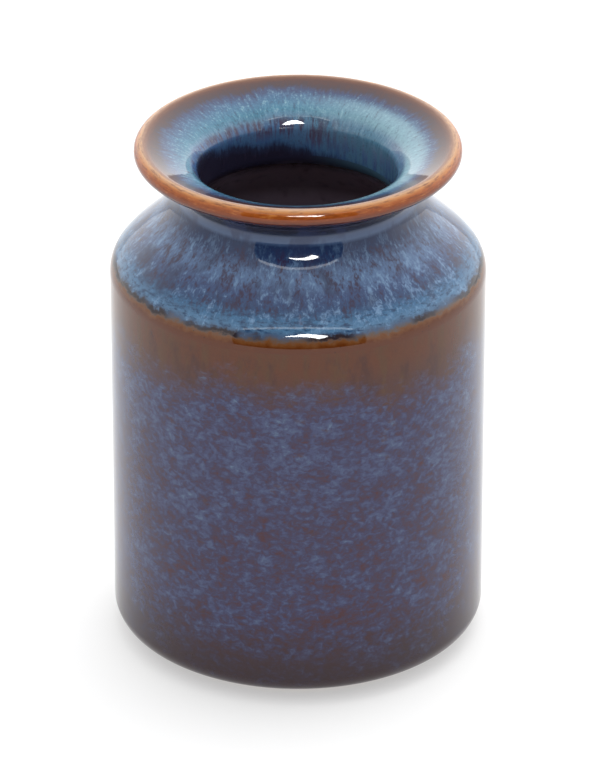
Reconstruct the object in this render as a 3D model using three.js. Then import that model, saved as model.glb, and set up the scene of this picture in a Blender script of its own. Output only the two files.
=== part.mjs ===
// A small stoneware flower vase: a straight cylinder with a sloping shoulder, a short waisted neck and a
// wide flared rim. The clay is turned in sections that are luted together, and five coats of glaze cover
// it. Units are millimetres, +Z is up, and the origin is the centre of the foot where the vase stands.
import * as THREE from "three";

// Driving dimensions of the glazed outside.
const height = 130;
const bodyRadius = 45.5;
const neckRadius = 29.32;
const rimRadius = 39.4;
const boreRadius = 23.8;
const footReveal = 1.2;

// The two bends of the heel, from the bottom up, and where they meet.
const heelBends = [13, 5];
const heelSplit = -55;

// The shoulder turns off the wall, slopes, and sweeps into the waist of the neck.
const edgeBends = [7, 32];
const edgeSplit = 38.5;
const shoulderFacing = 46.7;
const sweepBend = 40;
const waistBends = [8, 5];
const waistSplits = [38.3, 13];

// The rim is a plate that rises outwards and thins to a round lip. Its top turns down into the throat in
// three bends, and the bore is straight.
const underSlope = 30;
const rimSlope = 22;
const lipBend = 2.16;
const throatBends = [7, 20, 3];
const throatSplits = [141, 146];
const glazeEdgeRun = 1.2;

// The inside.
const wallThickness = 5;
const floorHeight = 7.6;
const boreLength = 6.6;
const innerNeckBend = 4;
const innerEdgeBend = 7;
const innerHeelBend = 5;

// The coats of glaze, and the foot ring that stays bare.
const glazeThickness = 0.6;
const glazeStart = -80;
const footOuter = 35;
const footInner = 29.5;
const footRound = 0.6;

// How finely the round shapes are cut.
const turns = 40;
const bendStep = 20;

const colours = {
  stoneware: 0xb08b68,
  wallGlaze: 0x4b4356,
  shoulderGlaze: 0x5a7093,
  lipGlaze: 0xa6561f,
  throatGlaze: 0x6a93a6,
  linerGlaze: 0x1d1814,
};

const radians = THREE.MathUtils.degToRad;

// How far a bend carries the outline. facing is the angle of the surface's normal above the horizontal,
// and a bend is a radius, positive where the surface bulges and negative where it is hollow.
function bendShift(bend, from, to) {
  return {
    r: bend * (Math.cos(radians(to)) - Math.cos(radians(from))),
    z: bend * (Math.sin(radians(to)) - Math.sin(radians(from))),
  };
}

// The direction that the outline runs in where the surface faces that way.
function heading(facing) {
  return { r: -Math.sin(radians(facing)), z: Math.cos(radians(facing)) };
}

// Walks the skin of the vase in named steps, each a straight run or a bend. It returns the points with
// the way they face, and where each step begins and ends among them.
function walkSkin(start, steps) {
  const points = [{ ...start }];
  const spans = {};
  for (const step of steps) {
    const first = points.length - 1;
    const here = points[first];
    if (step.run !== undefined) {
      const way = heading(here.facing);
      points.push({ r: here.r + way.r * step.run, z: here.z + way.z * step.run, facing: here.facing });
    } else {
      const pieces = Math.max(1, Math.round(Math.abs(step.to - here.facing) / bendStep));
      for (let i = 1; i <= pieces; i += 1) {
        const facing = here.facing + ((step.to - here.facing) * i) / pieces;
        const shift = bendShift(step.bend, here.facing, facing);
        points.push({ r: here.r + shift.r, z: here.z + shift.z, facing });
      }
    }
    spans[step.name] = [first, points.length - 1];
  }
  return { points, spans };
}

// How far several bends in a row carry the outline. Each begins where the one before it ends.
function shiftAlong(from, bends) {
  const sum = { r: 0, z: 0 };
  let facing = from;
  for (const [bend, to] of bends) {
    const shift = bendShift(bend, facing, to);
    sum.r += shift.r;
    sum.z += shift.z;
    facing = to;
  }
  return sum;
}

// The whole glazed skin, from the bottom of the heel up the outside, over the lip and down the inside to
// the middle of the floor. The straight runs are as long as the driving dimensions need.
function vaseSkin() {
  const heel = shiftAlong(-90, [
    [heelBends[0], heelSplit],
    [heelBends[1], 0],
  ]);
  const begin = bendShift(heelBends[0], -90, glazeStart);
  const start = {
    r: bodyRadius - heel.r + begin.r,
    z: footReveal + begin.z,
    facing: glazeStart,
  };

  const upperFacing = 90 + rimSlope;
  const underFacing = underSlope - 90;
  const edge = shiftAlong(0, [
    [edgeBends[0], edgeSplit],
    [edgeBends[1], shoulderFacing],
  ]);
  const waist = shiftAlong(shoulderFacing, [
    [-sweepBend, waistSplits[0]],
    [-waistBends[0], waistSplits[1]],
    [-waistBends[1], 0],
  ]);
  const shoulderInwards = bodyRadius - neckRadius + edge.r + waist.r;
  const shoulderRun = shoulderInwards / -heading(shoulderFacing).r;

  const flare = bendShift(-waistBends[1], 0, underFacing);
  const lipInset = lipBend * (1 - Math.cos(radians(underFacing)));
  const undersideRun = (rimRadius - lipInset - neckRadius - flare.r) / heading(underFacing).r;
  const lipHeight = lipBend * (1 - Math.sin(radians(underFacing)));
  const aboveWall =
    edge.z +
    shoulderRun * heading(shoulderFacing).z +
    waist.z +
    flare.z +
    undersideRun * heading(underFacing).z +
    lipHeight;
  const wallRun = height - aboveWall - footReveal - heel.z;

  const plateTop = {
    r: rimRadius - lipBend + lipBend * Math.cos(radians(upperFacing)),
    z: height - lipBend + lipBend * Math.sin(radians(upperFacing)),
  };
  const throat = shiftAlong(upperFacing, [
    [throatBends[0], throatSplits[0]],
    [throatBends[1], throatSplits[1]],
    [throatBends[2], 180],
  ]);
  const plateRun = (plateTop.r - boreRadius + throat.r) / -heading(upperFacing).r;

  const underNeck = 180 + shoulderFacing;
  const chamberRadius = bodyRadius - wallThickness;
  const inner = shiftAlong(180, [
    [innerNeckBend, underNeck],
    [-innerEdgeBend, 180],
  ]);
  const innerShoulderRun = (chamberRadius - boreRadius - inner.r) / heading(underNeck).r;
  const throatBottom = plateTop.z + plateRun * heading(upperFacing).z + throat.z;
  const chamberTop =
    throatBottom - boreLength + inner.z + innerShoulderRun * heading(underNeck).z;
  const chamberRun = chamberTop - floorHeight - innerHeelBend;

  return walkSkin(start, [
    { name: "heelLow", bend: heelBends[0], to: heelSplit },
    { name: "heelHigh", bend: heelBends[1], to: 0 },
    { name: "wall", run: wallRun },
    { name: "edge", bend: edgeBends[0], to: edgeSplit },
    { name: "edgeEase", bend: edgeBends[1], to: shoulderFacing },
    { name: "slope", run: shoulderRun },
    { name: "sweep", bend: -sweepBend, to: waistSplits[0] },
    { name: "waistLow", bend: -waistBends[0], to: waistSplits[1] },
    { name: "waistHigh", bend: -waistBends[1], to: underFacing },
    { name: "underside", run: undersideRun - glazeEdgeRun },
    { name: "lipUnder", run: glazeEdgeRun },
    { name: "lip", bend: lipBend, to: upperFacing },
    { name: "lipUpper", run: glazeEdgeRun },
    { name: "plate", run: plateRun - glazeEdgeRun },
    { name: "throatHigh", bend: throatBends[0], to: throatSplits[0] },
    { name: "throatMiddle", bend: throatBends[1], to: throatSplits[1] },
    { name: "throatLow", bend: throatBends[2], to: 180 },
    { name: "bore", run: boreLength },
    { name: "innerNeck", bend: innerNeckBend, to: underNeck },
    { name: "innerSlope", run: innerShoulderRun },
    { name: "innerEdge", bend: -innerEdgeBend, to: 180 },
    { name: "chamber", run: chamberRun },
    { name: "innerHeelHigh", bend: -innerHeelBend, to: 135 },
    { name: "innerHeelLow", bend: -innerHeelBend, to: 90 },
    { name: "floor", run: chamberRadius - innerHeelBend },
  ]);
}

const skin = vaseSkin();
const glazed = skin.points.map((p) => new THREE.Vector2(p.r, p.z));

// The clay under the glaze: every point of the skin moved into the wall by the glaze's thickness.
const clay = skin.points.map((p, i) => {
  const inwards = new THREE.Vector2(Math.cos(radians(p.facing)), Math.sin(radians(p.facing)));
  return glazed[i].clone().addScaledVector(inwards, -glazeThickness);
});
for (const outline of [glazed, clay]) {
  outline[outline.length - 1].x = 0;
}

// The points of an outline from the start of one step to the end of another.
function stretch(outline, from, to) {
  return outline.slice(skin.spans[from][0], skin.spans[to][1] + 1);
}

function mesh(name, colour, roughness, profile) {
  const geometry = new THREE.LatheGeometry(profile, turns).rotateX(Math.PI / 2);
  const material = new THREE.MeshStandardMaterial({ color: colour, roughness, metalness: 0 });
  const made = new THREE.Mesh(geometry, material);
  made.name = name;
  return made;
}

// Joins the outline to its own start, dropping a point where two stretches meet.
function closed(profile) {
  const kept = profile.filter((p, i) => i === 0 || p.distanceTo(profile[i - 1]) > 1e-6);
  return [...kept, kept[0].clone()];
}

// A section of clay: the steps of its outside going up, then those of its inside going down.
function claySection(name, outside, inside) {
  const profile = [...stretch(clay, ...outside), ...stretch(clay, ...inside)];
  return mesh(name, colours.stoneware, 0.85, closed(profile));
}

// A coat of glaze between the clay and the skin.
function coat(name, colour, from, to) {
  const outer = stretch(glazed, from, to);
  const inner = stretch(clay, from, to).reverse();
  return mesh(name, colour, 0.08, closed([...outer, ...inner]));
}

// The liner's floor reaches the axis, so its outline starts and ends there.
function linerCoat() {
  const underside = stretch(clay, "innerNeck", "floor").reverse();
  const topside = stretch(glazed, "innerNeck", "floor");
  return mesh("liner_glaze", colours.linerGlaze, 0.12, [...underside, ...topside]);
}

// The disc under the chamber, with the lower half of the heel outside it. Its underside is flat.
function baseSlab() {
  const underside = footReveal + glazeThickness;
  const outside = stretch(clay, "heelLow", "heelHigh");
  const top = stretch(clay, "innerHeelLow", "floor");
  const profile = [
    new THREE.Vector2(0, underside),
    new THREE.Vector2(outside[0].x - glazeThickness, underside),
    ...outside,
    ...top,
  ];
  return mesh("base_slab", colours.stoneware, 0.85, profile);
}

// The bare ring that the vase stands on.
function footRing() {
  const top = footReveal + glazeThickness;
  const profile = [
    new THREE.Vector2(footInner, top),
    new THREE.Vector2(footInner, footRound),
    new THREE.Vector2(footInner + footRound, 0),
    new THREE.Vector2(footOuter - footRound, 0),
    new THREE.Vector2(footOuter, footRound),
    new THREE.Vector2(footOuter, top),
  ];
  return mesh("foot_ring", colours.stoneware, 0.9, closed(profile));
}

const vase = new THREE.Group();
vase.add(
  footRing(),
  baseSlab(),
  claySection("body_wall", ["wall", "wall"], ["chamber", "innerHeelHigh"]),
  claySection("shoulder", ["edge", "sweep"], ["innerSlope", "innerEdge"]),
  claySection("neck", ["waistLow", "waistHigh"], ["bore", "innerNeck"]),
  claySection("flared_rim", ["underside", "plate"], ["throatHigh", "throatLow"]),
  coat("wall_glaze", colours.wallGlaze, "heelLow", "wall"),
  coat("shoulder_glaze", colours.shoulderGlaze, "edge", "underside"),
  coat("lip_glaze", colours.lipGlaze, "lipUnder", "lipUpper"),
  coat("throat_glaze", colours.throatGlaze, "plate", "bore"),
  linerCoat(),
);

export default vase;
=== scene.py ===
# A small glazed stoneware vase: turned clay in six sections, five coats of glaze, and a plain studio.
import bpy
import math
import numpy as np
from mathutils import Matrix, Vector


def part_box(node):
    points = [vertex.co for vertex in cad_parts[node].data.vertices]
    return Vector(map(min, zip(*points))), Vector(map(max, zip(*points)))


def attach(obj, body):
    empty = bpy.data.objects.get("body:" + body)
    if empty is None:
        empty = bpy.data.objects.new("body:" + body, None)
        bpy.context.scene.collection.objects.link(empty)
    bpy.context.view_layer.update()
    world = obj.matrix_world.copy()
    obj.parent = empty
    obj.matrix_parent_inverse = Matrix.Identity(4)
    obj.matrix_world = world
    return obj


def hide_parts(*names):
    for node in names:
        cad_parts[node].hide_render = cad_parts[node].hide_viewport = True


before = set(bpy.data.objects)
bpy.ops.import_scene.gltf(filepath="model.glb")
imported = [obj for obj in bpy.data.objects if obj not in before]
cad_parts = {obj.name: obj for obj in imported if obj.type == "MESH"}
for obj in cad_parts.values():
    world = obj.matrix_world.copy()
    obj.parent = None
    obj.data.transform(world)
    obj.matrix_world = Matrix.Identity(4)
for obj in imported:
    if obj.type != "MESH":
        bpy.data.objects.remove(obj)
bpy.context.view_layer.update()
print("frame loaded with", len(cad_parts), "nodes")

mm = 0.001


# the lowest and highest corner of a node, in millimetres
def boxOf(node):
    low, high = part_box(node)
    return np.array(low) / mm, np.array(high) / mm


# the camera
view = {
    "place": (-0.000145, -1.3425, 0.7715),
    "tilt": 62.22,            # degrees up from looking straight down
    "lens": 291.5,
    "sensor": 36.0,
}
cameraData = bpy.data.cameras.new("view")
cameraData.lens = view["lens"]
cameraData.sensor_width = view["sensor"]
camera = bpy.data.objects.new("view", cameraData)
bpy.context.scene.collection.objects.link(camera)
camera.location = view["place"]
camera.rotation_euler = (math.radians(view["tilt"]), 0, 0)
bpy.context.scene.camera = camera
bpy.context.scene.view_settings.view_transform = "Standard"

# the light and the floor: degrees, and metres from the aim
studio = {
    "frontWhite": 0.98,       # how bright the surroundings are in front, and behind the vase
    "backWhite": 1.9,
    "brightSide": (0.22, 0.975, 0),      # the way towards the brightest part
    "brightSpan": (-0.2, 0.8),           # cosine of the angle from it, where front turns into back
    "floorRings": (0.0, 0.05, 0.3, 1.2, 4.0),
    "floorTurns": 96,
    "floorColour": (0.60, 0.60, 0.60, 1),
    "floorGlow": 0.40,        # the paper is lit from below as well, so that shadows on it stay pale
    "aim": (0, 0, 0.1),
    "softboxAzimuth": 5.4,    # degrees to the right of the front
    "softboxHeight": 40.5,    # degrees above the horizon
    "softboxFar": 1.2,
    "softboxSize": (0.46, 0.36),
    "softboxWatts": 15.0,
    "fillAzimuth": 150.0,
    "fillHeight": 66.0,
    "fillFar": 1.4,
    "fillSize": (1.4, 1.4),
    "fillWatts": 7.0,
    # flat cards in front, as x from side to side and z from low to high, in metres from the aim
    "cardFar": 1.3,
    "cardPoints": 9,
    "cardBlack": (0.004, 0.004, 0.004, 1),
    "flagLow": (-0.98, 1.05, -0.1),
    "flagHigh": (-1.22, 1.25, 1.82),
    "stripLow": (-1.15, 1.12, 1.82),     # a narrow lamp along the top of the flag
    "stripHigh": (-1.15, 1.12, 1.94),
    "stripGlow": (4.0, 4.0, 4.0, 1),
    "lampLow": (0.02, 0.08, 2.05),       # a small warm lamp above it
    "lampHigh": (0.03, 0.07, 2.75),
    "lampGlow": (2.1, 1.55, 1.45, 1),
    "headAzimuth": -1.5,      # the round dark shape in front of the softbox
    "headHeight": 31.0,
    "headRadius": 11.8,
    "headFar": 1.0,
    "headRings": 6,
    "headTurns": 48,
}


# a point seen from the vase: azimuth turns to the right from the front, height is above the horizon
def awayAt(azimuth, height, far):
    side, up = np.radians(azimuth), np.radians(height)
    aim = studio["aim"]
    return np.stack([
        aim[0] + far * np.cos(up) * np.sin(side),
        aim[1] - far * np.cos(up) * np.cos(side),
        aim[2] + far * np.sin(up),
    ], axis=-1)


# the four corners of every cell in a grid of point numbers
def cellCorners(index):
    corners = [index[:-1, :-1], index[:-1, 1:], index[1:, 1:], index[1:, :-1]]
    return np.stack(corners, axis=-1).reshape(-1, 4)


# an object in the scene, from its mesh or its lamp
def linkObject(name, data):
    made = bpy.data.objects.new(name, data)
    bpy.context.scene.collection.objects.link(made)
    return made


# a mesh object from a grid of points, whose columns may join up with their own start
def gridObject(name, points, joinColumns=False):
    rows, columns = points.shape[:2]
    index = np.arange(rows * columns).reshape(rows, columns)
    if joinColumns:
        index = np.hstack([index, index[:, :1]])
    mesh = bpy.data.meshes.new(name)
    mesh.from_pydata(points.reshape(-1, 3), [], cellCorners(index))
    mesh.update()
    return linkObject(name, mesh)


# a round lamp that looks at the vase
def panelLight(name, watts, size, azimuth, height, far):
    data = bpy.data.lights.new(name, "AREA")
    data.shape = "ELLIPSE"
    data.size, data.size_y = size
    data.energy = watts
    made = linkObject(name, data)
    made.location = awayAt(azimuth, height, far)
    towards = Vector(studio["aim"]) - made.location
    made.rotation_euler = towards.to_track_quat("-Z", "Y").to_euler()
    made.visible_camera = False
    return made


softbox = panelLight(
    "softbox", studio["softboxWatts"], studio["softboxSize"],
    studio["softboxAzimuth"], studio["softboxHeight"], studio["softboxFar"],
)
softbox.visible_diffuse = False
fill = panelLight(
    "fill", studio["fillWatts"], studio["fillSize"],
    studio["fillAzimuth"], studio["fillHeight"], studio["fillFar"],
)
fill.visible_glossy = False


# white all round, and brighter behind the vase, as a lit backdrop is
def makeWorld():
    world = bpy.data.worlds.new("white surroundings")
    world.use_nodes = True
    tree = world.node_tree
    direction = tree.nodes.new("ShaderNodeTexCoord").outputs["Generated"]
    towards = tree.nodes.new("ShaderNodeVectorMath")
    towards.operation = "DOT_PRODUCT"
    tree.links.new(direction, towards.inputs[0])
    towards.inputs[1].default_value = studio["brightSide"]
    brighter = tree.nodes.new("ShaderNodeMapRange")
    brighter.interpolation_type = "SMOOTHSTEP"
    tree.links.new(towards.outputs["Value"], brighter.inputs["Value"])
    brighter.inputs["From Min"].default_value = studio["brightSpan"][0]
    brighter.inputs["From Max"].default_value = studio["brightSpan"][1]
    brighter.inputs["To Min"].default_value = studio["frontWhite"]
    brighter.inputs["To Max"].default_value = studio["backWhite"]
    background = tree.nodes["Background"]
    background.inputs["Color"].default_value = (1, 1, 1, 1)
    tree.links.new(brighter.outputs[0], background.inputs["Strength"])
    bpy.context.scene.world = world


makeWorld()


# one colour, without any gloss, for the floor and the cards
def mattePaint(name, colour):
    paint = bpy.data.materials.new(name)
    paint.use_nodes = True
    shader = paint.node_tree.nodes["Principled BSDF"]
    shader.inputs["Base Color"].default_value = colour
    shader.inputs["Roughness"].default_value = 1.0
    shader.inputs["Specular IOR Level"].default_value = 0.0
    return paint


# a flat disc: radius times cosine and sine of the turn, at the height where the foot stands
def makeFloor():
    turn = np.linspace(0, 2 * np.pi, studio["floorTurns"], endpoint=False)
    radius = np.array(studio["floorRings"])[:, None]
    points = np.stack([radius * np.cos(turn), radius * np.sin(turn), 0 * radius * turn], axis=-1)
    floor = gridObject("floor", points, joinColumns=True)
    floor.data.flip_normals()
    paper = mattePaint("pale paper", studio["floorColour"])
    shader = paper.node_tree.nodes["Principled BSDF"]
    shader.inputs["Emission Color"].default_value = (1, 1, 1, 1)
    shader.inputs["Emission Strength"].default_value = studio["floorGlow"]
    floor.data.materials.append(paper)


# a flat card in front of the vase: straight lines between its low and high edges, each (left, right, z)
def flatCard(name, low, high):
    share = np.linspace(0, 1, studio["cardPoints"])
    across, up = np.meshgrid(share, share)
    left, right, z = (low[i] + (high[i] - low[i]) * up for i in range(3))
    aim = studio["aim"]
    x = aim[0] + left + (right - left) * across
    return gridObject(name, np.stack([x, aim[1] - studio["cardFar"] + 0 * x, aim[2] + z], axis=-1))


# a round card: a disc of azimuths and heights round its middle
def roundCard(name, azimuth, height, reach, far):
    turn = np.linspace(0, 2 * np.pi, studio["headTurns"], endpoint=False)[None, :]
    out = np.linspace(0, reach, studio["headRings"])[:, None]
    across = azimuth + out * np.cos(turn) / math.cos(math.radians(height))
    return gridObject(name, awayAt(across, height + out * np.sin(turn), far), joinColumns=True)


# a lamp's own light, with nothing reflected from it
def glowPaint(name, colour):
    paint = mattePaint(name, (0, 0, 0, 1))
    shader = paint.node_tree.nodes["Principled BSDF"]
    shader.inputs["Emission Color"].default_value = colour
    shader.inputs["Emission Strength"].default_value = 1.0
    return paint


# cards that only the gloss sees: a black flag, a narrow strip lamp on top of it, a small warm lamp above,
# and a round dark card in front of the softbox
def makeCards():
    black = mattePaint("black card", studio["cardBlack"])
    white = glowPaint("strip glow", studio["stripGlow"])
    warm = glowPaint("lamp glow", studio["lampGlow"])
    head = roundCard(
        "head", studio["headAzimuth"], studio["headHeight"], studio["headRadius"], studio["headFar"],
    )
    cards = [
        (flatCard("flag", studio["flagLow"], studio["flagHigh"]), black),
        (flatCard("strip", studio["stripLow"], studio["stripHigh"]), white),
        (flatCard("lamp", studio["lampLow"], studio["lampHigh"]), warm),
        (head, black),
    ]
    for card, finish in cards:
        card.data.materials.append(finish)
        card.visible_camera = False
        card.visible_diffuse = False
        card.visible_shadow = False


makeFloor()
makeCards()
print("studio made")

glazeThickness = 0.6          # millimetres, everywhere

# The outline of the vase, in millimetres. Facing is the angle of the surface's normal above the horizontal,
# going up the outside, over the lip and down the inside. A bend is its name, its radius, which is negative
# where the surface is hollow, and the facing where it ends.
form = {
    "bodyRadius": boxOf("wall_glaze")[1][0],
    "wallTop": boxOf("wall_glaze")[1][2],
    "glazeFoot": boxOf("wall_glaze")[0][2],
    "glaze": glazeThickness,
    "floorTop": boxOf("liner_glaze")[0][2] + glazeThickness,
    "firstFacing": -80.0,
    "heel": [("heelLow", 13.0, -55.0), ("heelHigh", 5.0, 0.0)],
    "shoulder": [("edge", 7.0, 38.5), ("edgeEase", 32.0, 46.7)],
    "slopeRun": 8.186,
    "waist": [("sweep", -40.0, 38.3), ("waistLow", -8.0, 13.0), ("waistHigh", -5.0, -60.0)],
    "undersideRun": 6.306,
    "glazeEdgeRun": 1.2,
    "lip": [("lip", 2.158, 112.0)],
    "plateRun": 7.711,
    "throat": [("throatHigh", 7.0, 141.0), ("throatMiddle", 20.0, 146.0), ("throatLow", 3.0, 180.0)],
    "boreRun": 6.6,
    "innerNeck": [("innerNeck", 4.0, 226.7)],
    "innerSlopeRun": 18.198,
    "innerEdge": [("innerEdge", -7.0, 180.0)],
    "innerHeel": [("innerHeelHigh", -5.0, 135.0), ("innerHeelLow", -5.0, 90.0)],
    "bendStep": 3.0,          # degrees
    "runStep": 1.5,
    "turns": 256,
    "outOfTrue": 0.07,        # how far the thrown wall leaves a true circle, inwards only
    # the waves that it does so in: share, lobes in a turn, radians for each mm of height, and start
    "waves": [(0.20, 2, 0.021, 0.8), (0.16, 3, -0.034, 0.0), (0.14, 1, 0.09, 2.1)],
    "sameRing": 1e-5,         # nearer than this, two rings are one
    "onAxis": 1e-4,
    "sharpFrom": 35,          # degrees between faces
}


class Skin:
    # the outline as it is walked: points with their facing, and where each named step lies among them
    def __init__(self, radius, height, facing):
        self.points = [np.array([[radius, height, facing]])]
        self.spans = {}
        self.count = 1

    def here(self):
        return self.points[-1][-1]

    def add(self, name, rows):
        self.spans[name] = (self.count - 1, self.count - 1 + len(rows))
        self.points.append(rows)
        self.count += len(rows)

    # along a circle: the radius times the change in the cosine and sine of the facing
    def bend(self, name, radius, facing):
        r, z, start = self.here()
        pieces = max(2, round(abs(facing - start) / form["bendStep"]))
        facings = np.linspace(start, facing, pieces + 1)[1:]
        first, angles = math.radians(start), np.radians(facings)
        self.add(name, np.stack([
            r + radius * (np.cos(angles) - math.cos(first)),
            z + radius * (np.sin(angles) - math.sin(first)),
            facings,
        ], axis=-1))

    # straight on, a quarter turn round from the way that the surface faces
    def run(self, name, length):
        r, z, facing = self.here()
        pieces = max(2, round(length / form["runStep"]))
        far = np.linspace(0, length, pieces + 1)[1:]
        angle = math.radians(facing)
        self.add(name, np.stack([
            r - far * math.sin(angle), z + far * math.cos(angle), facing + 0 * far,
        ], axis=-1))

    def bends(self, steps):
        for name, radius, facing in steps:
            self.bend(name, radius, facing)

    def outline(self):
        return np.vstack(self.points)


# the heel starts so that its bends end on the body's radius
def heelStart():
    facing = form["firstFacing"]
    out = 0.0
    for _, radius, end in form["heel"]:
        out += radius * (math.cos(math.radians(end)) - math.cos(math.radians(facing)))
        facing = end
    return form["bodyRadius"] - out


# the whole skin: up the outside from the heel, over the lip, and down the inside to the middle of the floor
def walkSkin():
    skin = Skin(heelStart(), form["glazeFoot"], form["firstFacing"])
    skin.bends(form["heel"])
    skin.run("wall", form["wallTop"] - skin.here()[1])
    skin.bends(form["shoulder"])
    skin.run("slope", form["slopeRun"])
    skin.bends(form["waist"])
    skin.run("underside", form["undersideRun"])
    skin.run("lipUnder", form["glazeEdgeRun"])
    skin.bends(form["lip"])
    skin.run("lipUpper", form["glazeEdgeRun"])
    skin.run("plate", form["plateRun"])
    skin.bends(form["throat"])
    skin.run("bore", form["boreRun"])
    skin.bends(form["innerNeck"])
    skin.run("innerSlope", form["innerSlopeRun"])
    skin.bends(form["innerEdge"])
    heelDrop = abs(form["innerHeel"][0][1])
    skin.run("chamber", skin.here()[1] - form["floorTop"] - heelDrop)
    skin.bends(form["innerHeel"])
    skin.run("floor", skin.here()[0])
    return skin


skin = walkSkin()
glazed = skin.outline()
facings = np.radians(glazed[:, 2])
# the clay's face is the skin moved into the wall by the thickness of the glaze
clay = glazed[:, :2] - form["glaze"] * np.stack([np.cos(facings), np.sin(facings)], axis=-1)
# how far along the skin a point is, counted from where the wall turns into the shoulder
steps = np.hypot(*np.diff(glazed[:, :2], axis=0).T)
along = np.concatenate([[0], np.cumsum(steps)])
along -= along[skin.spans["wall"][1]]
glazed = glazed[:, :2]
marks = {name: along[end] for name, (_, end) in skin.spans.items()}
print("skin walked:", len(glazed), "points,", round(float(along[-1] - along[0]), 1), "mm long")


# the rows (radius, height, distance along the skin) from the start of one step to the end of another
def stretch(outline, first, last):
    begin, end = skin.spans[first][0], skin.spans[last][1] + 1
    return np.column_stack([outline[begin:end], along[begin:end]])


# The faces between the rings of a turned profile, whose last ring joins its first, and the points that they
# use. A ring on the axis is one point, so the cells beside it are triangles.
def ringFaces(rows, columns, onAxis):
    index = np.arange(rows * columns).reshape(rows, columns)
    index[onAxis] = index[onAxis][:, :1]
    index = np.hstack([index, index[:, :1]])
    index = np.vstack([index, index[:1]])
    cells = cellCorners(index)
    lowPole = cells[:, 0] == cells[:, 1]
    highPole = cells[:, 2] == cells[:, 3]
    parts = [
        cells[~lowPole & ~highPole],
        cells[highPole & ~lowPole][:, [0, 1, 2]],
        cells[lowPole & ~highPole][:, [0, 2, 3]],
    ]
    used = np.unique(index)
    renumber = np.zeros(rows * columns, dtype=int)
    renumber[used] = np.arange(len(used))
    return [face for part in parts for face in renumber[part].tolist()], used


# A profile carried round the axis. A point at turn t is (r cos t, r sin t, z), with r drawn in by a slow
# wave of t and z, so that every piece leaves the true circle by the same amount at the same place. The
# attribute flow is where the finishes read their place: (R cos t, R sin t, distance along the skin). R is
# the body's radius at every height, so strokes run on uphill and grow narrower towards the neck.
def turnProfile(name, profile):
    gaps = np.hypot(*np.diff(np.vstack([profile[-1:], profile])[:, :2], axis=0).T)
    profile = profile[gaps > form["sameRing"]]
    turn = np.linspace(0, 2 * np.pi, form["turns"], endpoint=False)[None, :]
    r, z, far = (profile[:, i][:, None] for i in range(3))
    wave = 0.5 + sum(
        share * np.sin(lobes * turn + climb * z + start) for share, lobes, climb, start in form["waves"]
    )
    drawn = r * (1 - wave * form["outOfTrue"] / form["bodyRadius"])
    points = np.stack([drawn * np.cos(turn), drawn * np.sin(turn), z + 0 * turn], axis=-1) * mm
    flow = np.stack([
        form["bodyRadius"] * np.cos(turn) + 0 * z,
        form["bodyRadius"] * np.sin(turn) + 0 * z,
        far + 0 * turn,
    ], axis=-1)
    faces, used = ringFaces(len(profile), form["turns"], profile[:, 0] < form["onAxis"])
    mesh = bpy.data.meshes.new(name)
    mesh.from_pydata(points.reshape(-1, 3)[used], [], faces)
    attribute = mesh.attributes.new("flow", "FLOAT_VECTOR", "POINT")
    attribute.data.foreach_set("vector", flow.reshape(-1, 3)[used].ravel().astype(np.float32))
    mesh.shade_smooth()
    mesh.set_sharp_from_angle(angle=math.radians(form["sharpFrom"]))
    mesh.update()
    return mesh


# a piece stands for one node, and is named for it in two words written as one
def addPiece(node, mesh, material):
    first, second = (node + "_section").split("_")[:2]
    name = first + second.capitalize()
    print("   ", name, len(mesh.polygons), "faces")
    made = linkObject(name, mesh)
    mesh.materials.append(material)
    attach(made, "root")
    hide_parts(node)
    return made


# one shader node, whose inputs are numbers, vectors, colours or the sockets of other nodes
def put(tree, kind, inputs=(), **settings):
    made = tree.nodes.new(kind)
    for name, value in settings.items():
        setattr(made, name, value)
    for name, value in dict(inputs).items():
        socket = made.inputs[name]
        if isinstance(value, bpy.types.NodeSocket):
            tree.links.new(value, socket)
        else:
            socket.default_value = value
    return made


# arithmetic on numbers and sockets
def sums(tree, operation, *values):
    return put(tree, "ShaderNodeMath", enumerate(values), operation=operation).outputs[0]


# cloudy noise about 0.5, with lumps about size millimetres across; stretch makes them longer one way
def clouds(tree, where, size, detail=3.0, rough=0.55, twist=0.0, stretch=(1, 1, 1), shift=(0, 0, 0)):
    placed = put(tree, "ShaderNodeMapping", {
        "Vector": where, "Location": shift, "Scale": tuple(1 / (size * s) for s in stretch),
    })
    return put(tree, "ShaderNodeTexNoise", {
        "Vector": placed.outputs[0], "Scale": 1.0, "Detail": detail, "Roughness": rough,
        "Distortion": twist,
    }).outputs["Fac"]


# small round spots, about apart millimetres from each other, where the cell's own number is below share
def spots(tree, where, apart, radius, share):
    placed = put(tree, "ShaderNodeMapping", {"Vector": where, "Scale": (1 / apart,) * 3})
    cells = put(tree, "ShaderNodeTexVoronoi", {"Vector": placed.outputs[0], "Scale": 1.0})
    number = put(tree, "ShaderNodeSeparateColor", {"Color": cells.outputs["Color"]}).outputs[0]
    spot = fade(tree, cells.outputs["Distance"], (radius / apart, 0.5 * radius / apart))
    return sums(tree, "MULTIPLY", spot, sums(tree, "LESS_THAN", number, share))


# a value carried from one span to another
def carry(tree, value, span, onto, kind="LINEAR"):
    return put(tree, "ShaderNodeMapRange", {
        "Value": value, "From Min": span[0], "From Max": span[1], "To Min": onto[0], "To Max": onto[1],
    }, interpolation_type=kind).outputs[0]


# a smooth step from 0 at the span's first end to 1 at its second, whichever is the larger
def fade(tree, value, span):
    return carry(tree, value, span, (0.0, 1.0), "SMOOTHSTEP")


# a value with a cloud's leaning added to it: share times how far the cloud is from its middle
def nudge(tree, cloud, share, value):
    leaning = sums(tree, "SUBTRACT", cloud, 0.5)
    return sums(tree, "MULTIPLY_ADD", leaning, share, value)


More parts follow.
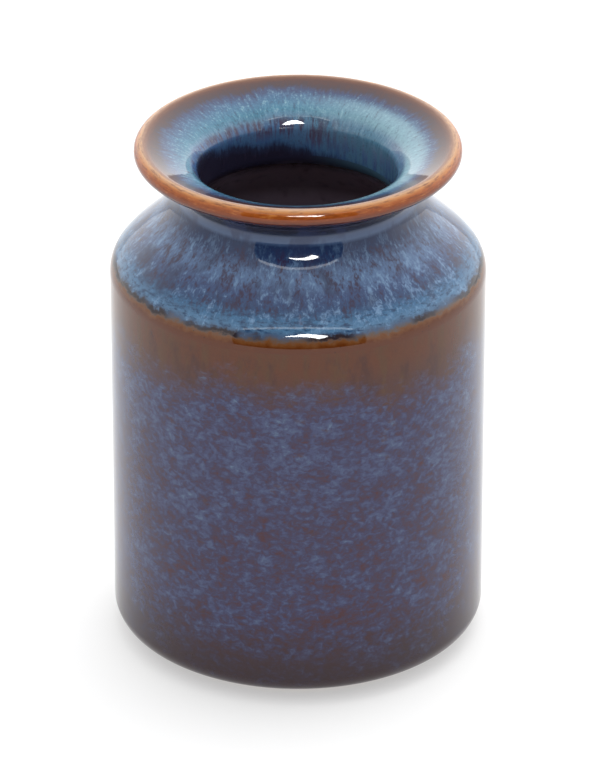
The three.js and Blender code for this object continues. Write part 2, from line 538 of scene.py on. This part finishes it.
# the colour at a value between 0 and 1, where each stop is a position and its colour
def shades(tree, value, stops):
    made = put(tree, "ShaderNodeValToRGB", {"Fac": value})
    ramp = made.color_ramp
    while len(ramp.elements) < len(stops):
        ramp.elements.new(1.0)
    for element, (position, colour) in zip(ramp.elements, stops):
        element.position = position
        element.color = (*colour, 1)
    return made.outputs["Color"]


# the colour at a distance along the skin, where the stops give distances in millimetres from 0
def shadesAlong(tree, distance, stops):
    last = stops[-1][0]
    stops = [(place / last, colour) for place, colour in stops]
    return shades(tree, sums(tree, "DIVIDE", distance, last), stops)


# two colours in one: the first where the amount is 0, the second where it is 1
def blend(tree, amount, first, second, way="MIX"):
    made = put(tree, "ShaderNodeMix", data_type="RGBA", blend_type=way)
    for socket, value in zip((made.inputs[0], made.inputs[6], made.inputs[7]), (amount, first, second)):
        if isinstance(value, bpy.types.NodeSocket):
            tree.links.new(value, socket)
        else:
            socket.default_value = value if isinstance(value, float) else (*value, 1)
    return made.outputs[2]


# Colours laid over the first one. A layer is as strong as its share where all its limits are passed. A
# limit is a measure by name, with where it starts to count and where it counts fully. A share may be the
# name of a measure too.
def layered(tree, colour, layers, measures):
    for layer in layers:
        amount = measures.get(layer["share"], layer["share"])
        for measure, *span in layer["where"]:
            amount = sums(tree, "MULTIPLY", fade(tree, measures[measure], span), amount)
        colour = blend(tree, amount, colour, layer["colour"])
    return colour


# the look's own spots over a colour
def speckled(tree, where, colour, look, strength):
    marked = spots(tree, where, **look["spots"])
    return blend(tree, sums(tree, "MULTIPLY", marked, strength), colour, look["spotColour"])


# every glaze: its gloss varies in soft patches, and a faint ripple bends the reflections
glazeFilm = {
    "ior": 1.46,
    "patches": {"size": 6.0, "detail": 2.0},
    "patchSpan": (0.3, 0.7),
    "rippleDetail": 1.0,
}


def glazeShader(name, paint, look):
    made = bpy.data.materials.new(name)
    made.use_nodes = True
    tree = made.node_tree
    tree.nodes.clear()
    flow = put(tree, "ShaderNodeAttribute", attribute_name="flow").outputs["Vector"]
    place = put(tree, "ShaderNodeSeparateXYZ", {"Vector": flow}).outputs
    patches = clouds(tree, flow, **glazeFilm["patches"])
    ripple = clouds(tree, flow, look["rippleSize"], detail=glazeFilm["rippleDetail"])
    bump = put(tree, "ShaderNodeBump", {
        "Height": ripple, "Strength": 1.0, "Distance": look["rippleHeight"] * mm,
    })
    shader = put(tree, "ShaderNodeBsdfPrincipled", {
        "Base Color": paint(tree, flow, place),
        "Roughness": carry(tree, patches, glazeFilm["patchSpan"], look["gloss"]),
        "IOR": glazeFilm["ior"],
        "Normal": bump.outputs[0],
    })
    put(tree, "ShaderNodeOutputMaterial", {"Surface": shader.outputs[0]})
    return made


# The wall: fine blue wisps over brown, under a bare amber-brown band below the shoulder. The bottom is
# browner, and the heel is dark brown. Distances are from the shoulder's edge, so they are negative here.
wallLook = {
    "gloss": (0.02, 0.05),
    "rippleSize": 3.0,
    "rippleHeight": 0.010,
    # the wisps are mixed from three sizes of cloud
    "coarse": {"size": 24.0, "detail": 3.0, "twist": 0.0, "shift": (0, 0, 0)},
    "middle": {"size": 5.0, "detail": 4.0, "twist": 0.25, "shift": (3.1, 0, 1.7)},
    "fine": {"size": 1.4, "detail": 5.0, "twist": 0.5, "shift": (6.2, 0, 3.4)},
    "wispShape": {"rough": 0.62, "stretch": (1.3, 1.3, 0.9)},
    "wispShares": (0.22, 0.52, 0.84),
    "wisps": [
        (0.28, (0.056, 0.012, 0.020)), (0.41, (0.038, 0.021, 0.052)), (0.50, (0.032, 0.031, 0.088)),
        (0.58, (0.042, 0.053, 0.128)), (0.67, (0.056, 0.080, 0.162)), (0.80, (0.098, 0.152, 0.240)),
    ],
    "trendSpan": (-88.0, -30.0),      # browner lower down, bluer in the upper half
    "trend": (-0.055, 0.02),
    # iron shows through in small red-brown patches
    "rustClouds": {
        "size": 3.4, "detail": 4.0, "rough": 0.6, "stretch": (1.4, 1.4, 0.9), "shift": (9, 4, 6),
    },
    "rust": [{"colour": (0.052, 0.014, 0.012), "share": 0.8, "where": [("rust", 0.40, 0.24)]}],
    "bandSpan": (-19.5, -7.5),        # where the band is gone, and where it is whole
    "bandWander": {"size": 26.0, "detail": 1.0, "stretch": (1, 1, 100), "shift": (0.4, 0.2, 0)},
    "bandShares": (20.0, -11.0, -10.0),
    "bandColour": (0.094, 0.022, 0.003),
    "streakClouds": {"size": 2.2, "detail": 4.0, "stretch": (1, 1, 4)},
    "smokeClouds": {"size": 5.0, "detail": 5.0, "rough": 0.7, "stretch": (1, 1, 2), "shift": (7, 2, 5)},
    "bandLayers": [
        {"colour": (0.066, 0.021, 0.015), "share": 1.0, "where": [("far", -3.0, -12.0)]},
        {"colour": (0.080, 0.029, 0.006), "share": 1.0, "where": [("streaks", 0.42, 0.75)]},
        {"colour": (0.046, 0.011, 0.008), "share": 0.75, "where": [
            ("smoke", 0.54, 0.30), ("far", -0.5, -2.5),
        ]},
    ],
    "heel": (0.025, 0.009, 0.012),
    "heelSpan": (-69.0, -94.0),
    "heelShares": (14.0, 12.0),
    "grainClouds": {"size": 0.35, "detail": 2.0, "rough": 0.7, "shift": (2, 2, 2)},
    "grain": [(0.25, (0.80, 0.80, 0.80)), (0.75, (1.0, 1.0, 1.0))],
    "spots": {"apart": 8.0, "radius": 0.17, "share": 0.25},
    "spotColour": (0.34, 0.37, 0.46),
    "spotStrength": 0.5,
}


def paintWall(tree, flow, place):
    far = place[2]
    coarse, middle, fine = (
        clouds(tree, flow, **wallLook[layer], **wallLook["wispShape"])
        for layer in ("coarse", "middle", "fine")
    )
    mixed = 0.5
    for cloud, share in zip((coarse, middle, fine), wallLook["wispShares"]):
        mixed = nudge(tree, cloud, share, mixed)
    trend = carry(tree, far, wallLook["trendSpan"], wallLook["trend"], "SMOOTHSTEP")
    wisps = shades(tree, sums(tree, "ADD", mixed, trend), wallLook["wisps"])
    measures = {
        "far": far,
        "rust": clouds(tree, flow, **wallLook["rustClouds"]),
        "streaks": clouds(tree, flow, **wallLook["streakClouds"]),
        "smoke": clouds(tree, flow, **wallLook["smokeClouds"]),
    }
    wisps = layered(tree, wisps, wallLook["rust"], measures)
    band = layered(tree, wallLook["bandColour"], wallLook["bandLayers"], measures)
    # the band's lower edge wanders round the vase and is broken up by the same clouds as the wisps
    edge = far
    wander = clouds(tree, flow, **wallLook["bandWander"])
    for cloud, share in zip((wander, middle, fine), wallLook["bandShares"]):
        edge = nudge(tree, cloud, share, edge)
    colour = blend(tree, fade(tree, edge, wallLook["bandSpan"]), wisps, band)
    low = far
    for cloud, share in zip((middle, fine), wallLook["heelShares"]):
        low = nudge(tree, cloud, share, low)
    colour = blend(tree, fade(tree, low, wallLook["heelSpan"]), colour, wallLook["heel"])
    # a fine grain over all of it, and a few pinholes
    grain = shades(tree, clouds(tree, flow, **wallLook["grainClouds"]), wallLook["grain"])
    colour = blend(tree, 1.0, colour, grain, way="MULTIPLY")
    return speckled(tree, flow, colour, wallLook, wallLook["spotStrength"])


# The shoulder: amber where the glaze breaks over the edge, a pool of teal above it, then fine blue and
# violet strokes that run uphill over brown blotches, and navy in the waist and under the rim. The waist
# has painted reflection over that navy, and the underside of the rim has painted shade.
shoulderLook = {
    "gloss": (0.02, 0.05),
    "rippleSize": 3.0,
    "rippleHeight": 0.008,
    "byDistance": [
        (0.0, (0.082, 0.018, 0.003)), (1.5, (0.090, 0.021, 0.003)), (2.6, (0.138, 0.052, 0.017)),
        (3.3, (0.100, 0.075, 0.066)), (4.2, (0.058, 0.088, 0.150)), (5.6, (0.072, 0.165, 0.285)),
        (8.0, (0.038, 0.124, 0.245)), (10.5, (0.026, 0.062, 0.152)), (14.0, (0.040, 0.072, 0.172)),
        # from 21.8 on, painted reflection and shade over the glaze's navy: darker where the waist mirrors
        # the dark room in front, a paler stripe at 27.2 to 28.6 where the neck mirrors the floor, and near
        # black from 29.6 on as painted shade under the rim
        (18.0, (0.084, 0.150, 0.285)), (20.0, (0.070, 0.122, 0.240)), (21.8, (0.046, 0.080, 0.172)),
        (23.2, (0.020, 0.040, 0.108)), (26.2, (0.011, 0.024, 0.070)), (27.2, (0.056, 0.092, 0.178)),
        (28.6, (0.042, 0.066, 0.132)), (29.6, (0.009, 0.012, 0.028)), (33.0, (0.012, 0.006, 0.010)),
        (39.5, (0.030, 0.009, 0.008)),
    ],
    "strokes": {"size": 0.95, "detail": 4.0, "rough": 0.62, "twist": 0.8, "stretch": (1, 1, 1.45)},
    "blotches": {"size": 4.5, "detail": 3.0, "twist": 0.5, "stretch": (1, 1, 1.4), "shift": (5, 1, 2)},
    "ragged": {"size": 1.2, "detail": 5.0, "rough": 0.65, "stretch": (1.6, 1.6, 1), "shift": (2, 7, 0)},
    "lines": {"size": 0.85, "detail": 5.0, "rough": 0.68, "stretch": (2.6, 2.6, 1), "shift": (6, 3, 5)},
    "wide": {"size": 11.0, "detail": 3.0, "rough": 0.6, "twist": 0.4, "shift": (4, 8, 1)},
    "comes": {"size": 16.0, "detail": 2.0, "stretch": (1, 1, 50), "shift": (8, 2, 0)},
    "wanderShares": (2.6, 2.4),       # millimetres that the ragged noise and the blotches move the bands
    "wanderSpan": (26.5, 22.0),       # they lie still above this
    "mixShares": (1.05, 1.1),
    "layers": [
        # light strokes
        {"colour": (0.180, 0.305, 0.480), "share": 0.75, "where": [
            ("mixed", 0.50, 0.84), ("shifted", 3.6, 5.0), ("shifted", 29.0, 19.0),
        ]},
        # fine navy lines that run round in the pool above the edge
        {"colour": (0.012, 0.034, 0.088), "share": 0.85, "where": [
            ("lines", 0.46, 0.66), ("shifted", 4.0, 5.0), ("shifted", 13.0, 8.0),
        ]},
        # brown between the strokes
        {"colour": (0.034, 0.016, 0.038), "share": 0.85, "where": [
            ("mixed", 0.52, 0.24), ("shifted", 4.5, 11.0), ("far", 27.0, 23.0),
        ]},
        # wide darker patches
        {"colour": (0.020, 0.028, 0.072), "share": 0.65, "where": [
            ("wide", 0.50, 0.34), ("shifted", 5.0, 9.0),
        ]},
        # a thin dark line along the broken edge, which comes and goes round the vase
        {"colour": (0.022, 0.014, 0.016), "share": 0.95, "where": [
            ("shifted", 2.9, 3.6), ("shifted", 4.9, 4.0), ("comes", 0.42, 0.54),
        ]},
    ],
    # iron specks beside it
    "spots": {"apart": 1.4, "radius": 0.22, "share": 0.3},
    "spotColour": (0.020, 0.008, 0.006),
    "spotStrength": 0.7,
    "spotSpan": (4.0, 2.0),
}


def paintShoulder(tree, flow, place):
    far = place[2]
    strokes, blotches, ragged, lines, wide, comes = (
        clouds(tree, flow, **shoulderLook[layer])
        for layer in ("strokes", "blotches", "ragged", "lines", "wide", "comes")
    )
    moved = 0.0
    for cloud, share in zip((ragged, blotches), shoulderLook["wanderShares"]):
        moved = nudge(tree, cloud, share, moved)
    shifted = sums(tree, "MULTIPLY_ADD", moved, fade(tree, far, shoulderLook["wanderSpan"]), far)
    mixed = 0.5
    for cloud, share in zip((blotches, strokes), shoulderLook["mixShares"]):
        mixed = nudge(tree, cloud, share, mixed)
    colour = shadesAlong(tree, shifted, shoulderLook["byDistance"])
    colour = layered(tree, colour, shoulderLook["layers"], {
        "far": far, "shifted": shifted, "mixed": mixed, "lines": lines, "wide": wide, "comes": comes,
    })
    nearEdge = fade(tree, far, shoulderLook["spotSpan"])
    strength = sums(tree, "MULTIPLY", nearEdge, shoulderLook["spotStrength"])
    return speckled(tree, flow, colour, shoulderLook, strength)


# The lip: amber with turning lines, peach on its upper side, partly a painted reflection of the bright
# overhead, and maroon underneath, darkened there as painted shade.
lipLook = {
    "gloss": (0.03, 0.08),
    "rippleSize": 2.0,
    "rippleHeight": 0.006,
    "byDistance": [
        # the first two stops are darkened as painted shade under the lip; the pale peach at 6.3 is partly
        # the glaze's colour and partly a painted reflection of the bright overhead
        (0.0, (0.030, 0.009, 0.008)), (2.2, (0.036, 0.008, 0.005)), (2.8, (0.100, 0.020, 0.006)),
        (3.5, (0.190, 0.038, 0.006)), (4.1, (0.250, 0.056, 0.009)), (4.9, (0.330, 0.085, 0.016)),
        (5.5, (0.420, 0.160, 0.042)), (6.3, (0.470, 0.262, 0.130)), (6.9, (0.270, 0.138, 0.080)),
        (7.5, (0.175, 0.074, 0.042)), (8.2, (0.112, 0.048, 0.034)), (8.9, (0.084, 0.041, 0.038)),
    ],
    "lines": {"size": 0.42, "detail": 4.0, "rough": 0.7, "stretch": (14, 14, 1)},
    "patches": {"size": 1.5, "detail": 5.0, "rough": 0.75, "stretch": (2.2, 2.2, 0.5)},
    "wanderShares": (0.9, 1.0),
    "mixShare": 1.5,
    "layers": [
        {"colour": (0.140, 0.030, 0.006), "share": 0.75, "where": [
            ("mixed", 0.46, 0.80), ("far", 7.2, 5.8),
        ]},
        {"colour": (0.500, 0.200, 0.050), "share": 0.7, "where": [
            ("mixed", 0.42, 0.12), ("far", 3.0, 4.0), ("far", 7.2, 6.2),
        ]},
    ],
    "spots": {"apart": 1.1, "radius": 0.13, "share": 0.3},
    "spotColour": (0.045, 0.012, 0.006),
    "spotStrength": 0.6,
}


def paintLip(tree, flow, place):
    far = sums(tree, "SUBTRACT", place[2], marks["underside"])
    lines = clouds(tree, flow, **lipLook["lines"])
    patches = clouds(tree, flow, **lipLook["patches"])
    shifted = far
    mixed = 0.5
    for cloud, share in zip((lines, patches), lipLook["wanderShares"]):
        shifted = nudge(tree, cloud, share, shifted)
        mixed = nudge(tree, cloud, lipLook["mixShare"], mixed)
    colour = shadesAlong(tree, shifted, lipLook["byDistance"])
    colour = layered(tree, colour, lipLook["layers"], {"far": far, "mixed": mixed})
    return speckled(tree, flow, colour, lipLook, lipLook["spotStrength"])


# The plate and throat: brown near the lip, then violet, blue and teal in feathers that run inwards, and
# blue drips over brown down the bore. The glaze was poured off to the right, where the blue runs deeper.
# Low in the bore the colour turns near black as painted shade, and this shade reaches higher at the two
# sides.
throatLook = {
    "gloss": (0.02, 0.06),
    "rippleSize": 3.0,
    "rippleHeight": 0.008,
    "byDistance": [
        (0.0, (0.084, 0.041, 0.038)), (1.6, (0.062, 0.042, 0.050)), (3.2, (0.046, 0.064, 0.135)),
        (5.2, (0.052, 0.115, 0.215)), (7.5, (0.050, 0.150, 0.245)), (9.5, (0.066, 0.195, 0.285)),
        (11.6, (0.125, 0.235, 0.350)), (13.0, (0.112, 0.180, 0.295)), (15.5, (0.072, 0.130, 0.280)),
        # the last two stops are near black as painted shade low in the bore
        (18.4, (0.042, 0.095, 0.225)), (20.2, (0.020, 0.028, 0.064)), (21.8, (0.016, 0.015, 0.033)),
    ],
    "feather": {"size": 0.8, "detail": 4.0, "rough": 0.6, "twist": 0.3, "stretch": (1.6, 1.6, 3.2)},
    "grain": {"size": 0.55, "detail": 4.0, "rough": 0.65, "stretch": (1.6, 1.6, 1), "shift": (1, 4, 0)},
    "drips": {"size": 1.35, "detail": 4.0, "rough": 0.6, "stretch": (1.7, 1.7, 5), "shift": (3, 3, 1)},
    "wander": {"size": 14.0, "detail": 2.0, "stretch": (1, 1, 30), "shift": (3, 3, 1)},
    "wanderShare": 4.0,
    "mixShare": 0.9,
    "lean": -0.10,            # how much deeper the blue runs down the bore, for each mm to the right
    "leanSpan": (10.5, 14.0),
    "sideShadeBy": 3.4,            # painted shade: at the two sides the dark of the bore is painted higher up
    "sideShadeSides": (36.0, 46.0),
    "sideShadeSpan": (9.2, 12.0),
    "pouredSides": (-10.0, 38.0),
    "tealShares": (0.45, 0.3),        # on the poured side, and everywhere
    "layers": [
        # paler on the poured side of the plate
        {"colour": (0.250, 0.400, 0.450), "share": 0.6, "where": [
            ("side", -10.0, 38.0), ("far", 3.5, 6.5), ("far", 12.5, 9.5),
        ]},
        # teal drips down the bore
        {"colour": (0.076, 0.190, 0.290), "share": "tealShare", "where": [
            ("drips", 0.35, 0.60), ("far", 11.0, 14.0), ("shifted", 20.5, 17.5),
        ]},
        # brown between the drips on the other side, from the turn of the throat down
        {"colour": (0.074, 0.050, 0.082), "share": 0.85, "where": [
            ("drips", 0.58, 0.42), ("far", 10.4, 12.4), ("shifted", 19.0, 15.0), ("side", 28.0, 4.0),
        ]},
        # light and dark feathers
        {"colour": (0.300, 0.480, 0.540), "share": 0.65, "where": [
            ("mixed", 0.50, 0.90), ("shifted", 2.0, 5.5), ("far", 16.0, 10.5),
        ]},
        {"colour": (0.042, 0.026, 0.050), "share": 0.55, "where": [
            ("mixed", 0.50, 0.15), ("far", 1.5, 3.0),
        ]},
    ],
}


def paintThroat(tree, flow, place):
    side = place[0]
    far = sums(tree, "SUBTRACT", place[2], marks["lipUpper"])
    feather, grain, drips, wander = (
        clouds(tree, flow, **throatLook[layer]) for layer in ("feather", "grain", "drips", "wander")
    )
    lean = sums(tree, "MULTIPLY", side, throatLook["lean"])
    lean = sums(tree, "MULTIPLY", lean, fade(tree, far, throatLook["leanSpan"]))
    # painted shade: at the two sides the near black of the bore is moved higher up
    sideShade = fade(tree, sums(tree, "ABSOLUTE", side), throatLook["sideShadeSides"])
    sideShade = sums(tree, "MULTIPLY", sideShade, fade(tree, far, throatLook["sideShadeSpan"]))
    shifted = sums(tree, "ADD", far, sums(tree, "MULTIPLY_ADD", sideShade, throatLook["sideShadeBy"], lean))
    for cloud in (feather, wander):
        shifted = nudge(tree, cloud, throatLook["wanderShare"], shifted)
    mixed = 0.5
    for cloud in (grain, feather):
        mixed = nudge(tree, cloud, throatLook["mixShare"], mixed)
    poured = fade(tree, side, throatLook["pouredSides"])
    return layered(tree, shadesAlong(tree, shifted, throatLook["byDistance"]), throatLook["layers"], {
        "side": side, "far": far, "shifted": shifted, "mixed": mixed, "drips": drips,
        "tealShare": sums(tree, "MULTIPLY_ADD", poured, *throatLook["tealShares"]),
    })


# The liner: near-black navy at its mouth, partly the throat's navy and partly painted shade, a dull
# brown-grey further in, and red-brown on the floor.
linerLook = {
    "gloss": (0.08, 0.16),
    "rippleSize": 3.0,
    "rippleHeight": 0.010,
    # the mouth's near black is partly painted shade at the top of the liner
    "mouth": (0.018, 0.017, 0.038),
    "pouredMouth": (0.050, 0.110, 0.165),
    "pouredSides": (0.0, 40.0),
    # the end of a step, how far past it the next colour starts and is whole, and that colour
    "zones": [
        ("innerNeck", (-2.0, 6.0), (0.230, 0.180, 0.240)),
        ("innerEdge", (-2.0, 12.0), (0.125, 0.057, 0.034)),
        ("chamber", (-62.0, -20.0), (0.230, 0.080, 0.034)),
    ],
    "mottles": {"size": 5.0, "detail": 3.0},
    "wanderShare": 4.0,
    "darker": [{"colour": (0.018, 0.017, 0.038), "share": 0.5, "where": [("mottles", 0.50, 0.85)]}],
}


def paintLiner(tree, flow, place):
    mottles = clouds(tree, flow, **linerLook["mottles"])
    far = nudge(tree, mottles, linerLook["wanderShare"], place[2])
    poured = fade(tree, place[0], linerLook["pouredSides"])
    colour = blend(tree, poured, linerLook["mouth"], linerLook["pouredMouth"])
    for step, span, zone in linerLook["zones"]:
        reached = fade(tree, far, [marks[step] + end for end in span])
        colour = blend(tree, reached, colour, zone)
    return layered(tree, colour, linerLook["darker"], {"mottles": mottles})


# Bare stoneware: buff, with iron specks, fine sand and the turning marks of the wheel.
stonewareLook = {
    "patchClouds": {"size": 9.0, "detail": 4.0},
    "patches": [(0.3, (0.33, 0.205, 0.125)), (0.7, (0.46, 0.31, 0.20))],
    "sandClouds": {"size": 0.5, "detail": 4.0, "rough": 0.7},
    "sand": [{"colour": (0.24, 0.15, 0.095), "share": 1.0, "where": [("sand", 0.55, 0.75)]}],
    "spots": {"apart": 2.1, "radius": 0.30, "share": 0.5},
    "spotColour": (0.055, 0.028, 0.018),
    "spotStrength": 1.0,
    "ringClouds": {"size": 0.9, "detail": 3.0},
    "ringShare": 0.7,         # of the turning marks' height, beside that of the sand
    "bumpHeight": 0.12,
    "sandSpan": (0.3, 0.7),
    "roughness": (0.74, 0.95),
    "ior": 1.45,
}


def stonewareShader():
    made = bpy.data.materials.new("bare stoneware")
    made.use_nodes = True
    tree = made.node_tree
    tree.nodes.clear()
    place = put(tree, "ShaderNodeTexCoord").outputs["Object"]
    inMillimetres = put(tree, "ShaderNodeMapping", {"Vector": place, "Scale": (1 / mm,) * 3}).outputs[0]
    sand = clouds(tree, inMillimetres, **stonewareLook["sandClouds"])
    patches = clouds(tree, inMillimetres, **stonewareLook["patchClouds"])
    colour = shades(tree, patches, stonewareLook["patches"])
    colour = layered(tree, colour, stonewareLook["sand"], {"sand": sand})
    colour = speckled(tree, inMillimetres, colour, stonewareLook, stonewareLook["spotStrength"])
    # the turning marks are noise of the distance from the axis alone
    x, y, _ = put(tree, "ShaderNodeSeparateXYZ", {"Vector": inMillimetres}).outputs
    squares = sums(tree, "ADD", sums(tree, "MULTIPLY", x, x), sums(tree, "MULTIPLY", y, y))
    ringed = put(tree, "ShaderNodeCombineXYZ", {"X": sums(tree, "SQRT", squares)}).outputs[0]
    rings = clouds(tree, ringed, **stonewareLook["ringClouds"])
    bump = put(tree, "ShaderNodeBump", {
        "Height": sums(tree, "MULTIPLY_ADD", rings, stonewareLook["ringShare"], sand),
        "Strength": 1.0,
        "Distance": stonewareLook["bumpHeight"] * mm,
    })
    shader = put(tree, "ShaderNodeBsdfPrincipled", {
        "Base Color": colour,
        "Roughness": carry(tree, sand, stonewareLook["sandSpan"], stonewareLook["roughness"]),
        "IOR": stonewareLook["ior"],
        "Normal": bump.outputs[0],
    })
    put(tree, "ShaderNodeOutputMaterial", {"Surface": shader.outputs[0]})
    return made


# the coats of glaze: the first and last step that each covers, and its finish
coats = {
    "wall_glaze": ("heelLow", "wall", paintWall, wallLook),
    "shoulder_glaze": ("edge", "underside", paintShoulder, shoulderLook),
    "lip_glaze": ("lipUnder", "lipUpper", paintLip, lipLook),
    "throat_glaze": ("plate", "bore", paintThroat, throatLook),
    "liner_glaze": ("innerNeck", "floor", paintLiner, linerLook),
}
for node, (first, last, paint, look) in coats.items():
    # back along the clay's face, then out along the skin; the liner's loop starts and ends on the axis
    profile = np.vstack([stretch(clay, first, last)[::-1], stretch(glazed, first, last)])
    glaze = glazeShader(node.replace("_", " "), paint, look)
    addPiece(node, turnProfile(node, profile), glaze)

# the four clay sections above the base: the steps of the outside going up, then of the inside going down
sections = {
    "body_wall": (("wall", "wall"), ("chamber", "innerHeelHigh")),
    "shoulder": (("edge", "sweep"), ("innerSlope", "innerEdge")),
    "neck": (("waistLow", "waistHigh"), ("bore", "innerNeck")),
    "flared_rim": (("underside", "plate"), ("throatHigh", "throatLow")),
}
bareStoneware = stonewareShader()
for node, (outside, inside) in sections.items():
    profile = np.vstack([stretch(clay, *outside), stretch(clay, *inside)])
    addPiece(node, turnProfile(node, profile), bareStoneware)

foot = {
    "innerRadius": 29.5,
    "rounding": 0.6,
    "cornerPoints": 5,
    "flatRings": 24,          # in the underside of the slab
}


# the foot is a square section with its two lower corners rounded; rows are radius, height and 0
def footProfile():
    low, high = boxOf("foot_ring")
    outer, top = high[0], high[2]
    inner, edge = foot["innerRadius"], foot["rounding"]
    corner = np.radians(np.linspace(0, 90, foot["cornerPoints"]))
    innerEdge = np.stack([
        inner + edge - edge * np.cos(corner), edge - edge * np.sin(corner), 0 * corner,
    ], axis=-1)
    outerEdge = np.stack([
        outer - edge + edge * np.sin(corner), edge - edge * np.cos(corner), 0 * corner,
    ], axis=-1)
    return np.vstack([[[inner, top, 0]], innerEdge, outerEdge, [[outer, top, 0]]])


# the disc under the chamber: its flat underside from the axis outwards, the heel, and the floor inwards
def slabProfile():
    underside = boxOf("base_slab")[0][2]
    heel = stretch(clay, "heelLow", "heelHigh")
    top = stretch(clay, "innerHeelLow", "floor")
    flat = np.linspace(0, heel[0, 0] - form["glaze"], foot["flatRings"])
    flat = np.stack([flat, underside + 0 * flat, 0 * flat], axis=-1)
    return np.vstack([flat, heel, top])


addPiece("foot_ring", turnProfile("foot_ring", footProfile()), bareStoneware)
addPiece("base_slab", turnProfile("base_slab", slabProfile()), bareStoneware)
print("pieces made")
